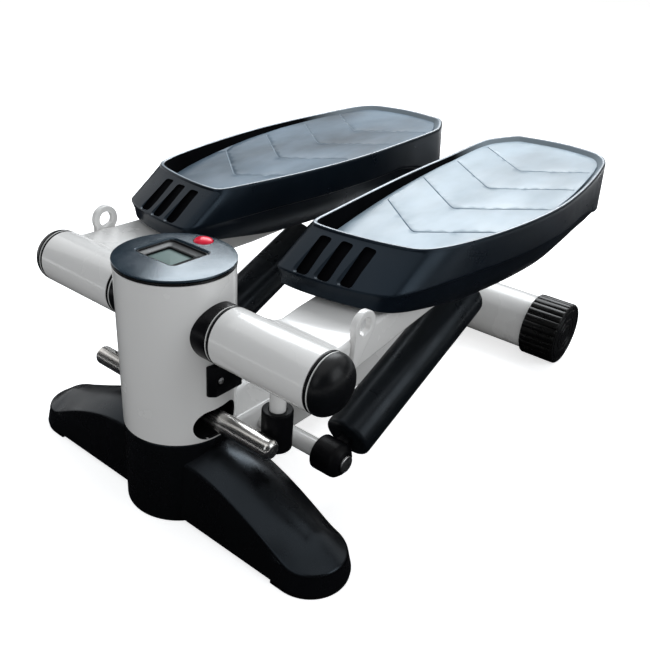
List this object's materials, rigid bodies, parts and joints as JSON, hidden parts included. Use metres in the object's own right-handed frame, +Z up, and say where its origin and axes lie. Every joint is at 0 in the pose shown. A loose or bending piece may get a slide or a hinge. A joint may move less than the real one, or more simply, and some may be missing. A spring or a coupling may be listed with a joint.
{
  "type": "mini stepper",
  "caption": "Mini stepper with a counter on its column, coupled rocker arms that carry foot trays, and an oil damper under each arm.",
  "frame": {"origin": "middle of the footprint, on the floor", "axes": "-Y towards the front, where the column and counter are and the user faces; +X towards the user's left; +Z up"},
  "size_m": [0.2978, 0.4482, 0.2065],
  "materials": {
    "white_paint": "gloss white paint",
    "black_plastic": "satin black",
    "tray_plastic": "fine grained, near black with a blue cast",
    "foot_plastic": "satin black",
    "rubber": "black",
    "mat_rubber": "pale grey, smooth, worn",
    "cover_plastic": "dark slate satin",
    "damper_paint": "satin black paint",
    "chrome": "polished",
    "zinc": "zinc plated",
    "lcd_glass": "grey green display film",
    "circuit_board": "green solder mask",
    "red_plastic": "gloss red",
    "nylon": "natural nylon"
  },
  "bodies": {
    "frame": {"column": "white_paint", "main_beam": "white_paint", "rear_tube": "white_paint", "rear_cap_left": "rubber", "rear_cap_right": "rubber", "front_foot": "foot_plastic", "foot_bolt": "zinc", "front_pad_left": "rubber", "front_pad_right": "rubber", "damper_crossbar": "white_paint", "damper_spindle": "zinc", "pivot_axle": "zinc", "pivot_spacer_left": "black_plastic", "pivot_spacer_right": "black_plastic", "thrust_washer_inner_left": "nylon", "thrust_washer_inner_right": "nylon", "thrust_washer_outer_left": "nylon", "thrust_washer_outer_right": "nylon", "axle_nut_left": "zinc", "axle_nut_right": "zinc", "axle_dome_left": "black_plastic", "axle_dome_right": "black_plastic", "rocker_pin": "zinc", "rocker_shelf": "white_paint", "counter_cover": "cover_plastic", "cover_ring": "rubber", "display_bezel": "black_plastic", "lcd_panel": "lcd_glass", "circuit_board": "circuit_board", "button_cell": "zinc", "sensor_housing": "black_plastic", "sensor_screw": "zinc", "sensor_lead": "rubber"},
    "left_arm": {"arm_left": "white_paint", "arm_bush_inner_left": "black_plastic", "arm_bush_outer_left": "black_plastic", "push_sleeve_left": "black_plastic", "damper_pin_left": "zinc", "tray_left": "tray_plastic", "tray_mat_left": "mat_rubber", "tray_bolt_front_left": "zinc", "tray_bolt_rear_left": "zinc"},
    "right_arm": {"arm_right": "white_paint", "arm_bush_inner_right": "black_plastic", "arm_bush_outer_right": "black_plastic", "push_sleeve_right": "black_plastic", "damper_pin_right": "zinc", "tray_right": "tray_plastic", "tray_mat_right": "mat_rubber", "tray_bolt_front_right": "zinc", "tray_bolt_rear_right": "zinc"},
    "rocker": {"rocker_bar": "chrome"},
    "left_damper": {"damper_eye_left": "black_plastic", "damper_tube_left": "damper_paint"},
    "right_damper": {"damper_eye_right": "black_plastic", "damper_tube_right": "damper_paint"},
    "left_rod": {"piston_rod_left": "chrome"},
    "right_rod": {"piston_rod_right": "chrome"},
    "button": {"reset_button": "red_plastic"}
  },
  "joints": [
    {"name": "left_arm_pivot", "type": "hinge", "parent": "frame", "child": "left_arm", "pos_m": [0, -0.18515, 0.1412], "axis": [1, 0, 0], "range_deg": [-10, 10]},
    {"name": "right_arm_pivot", "type": "hinge", "parent": "frame", "child": "right_arm", "pos_m": [0, -0.18515, 0.1412], "axis": [1, 0, 0], "range_deg": [-10, 10]},
    {"name": "rocker_turn", "type": "hinge", "parent": "frame", "child": "rocker", "pos_m": [0, -0.18515, 0.0751], "axis": [0, 0, 1], "range_deg": [-9.2, 9.2]},
    {"name": "left_damper_hinge", "type": "hinge", "parent": "frame", "child": "left_damper", "pos_m": [0.0847, -0.12185, 0.0359], "axis": [1, 0, 0], "range_deg": [-11, 11]},
    {"name": "right_damper_hinge", "type": "hinge", "parent": "frame", "child": "right_damper", "pos_m": [-0.0847, -0.12185, 0.0359], "axis": [1, 0, 0], "range_deg": [-11, 11]},
    {"name": "left_rod_slide", "type": "slide", "parent": "left_damper", "child": "left_rod", "axis": [0, 0.9128, 0.4083], "range_m": [-0.0215, 0.0215]},
    {"name": "right_rod_slide", "type": "slide", "parent": "right_damper", "child": "right_rod", "axis": [0, 0.9128, 0.4083], "range_m": [-0.0215, 0.0215]},
    {"name": "button_press", "type": "slide", "parent": "frame", "child": "button", "axis": [0, 0, -1], "range_m": [0, 0.0015], "stiffness_N_per_m": 400, "springref_m": -0.0005}
  ],
  "couplings": [
    {"joint": "right_arm_pivot", "follows": "left_arm_pivot", "ratio": -1},
    {"joint": "rocker_turn", "follows": "left_arm_pivot", "ratio": 0.912},
    {"joint": "left_damper_hinge", "follows": "left_arm_pivot", "ratio": 1.065},
    {"joint": "right_damper_hinge", "follows": "left_arm_pivot", "ratio": -1.065},
    {"joint": "left_rod_slide", "follows": "left_arm_pivot", "m_per_rad": 0.12},
    {"joint": "right_rod_slide", "follows": "left_arm_pivot", "m_per_rad": -0.12}
  ]
}
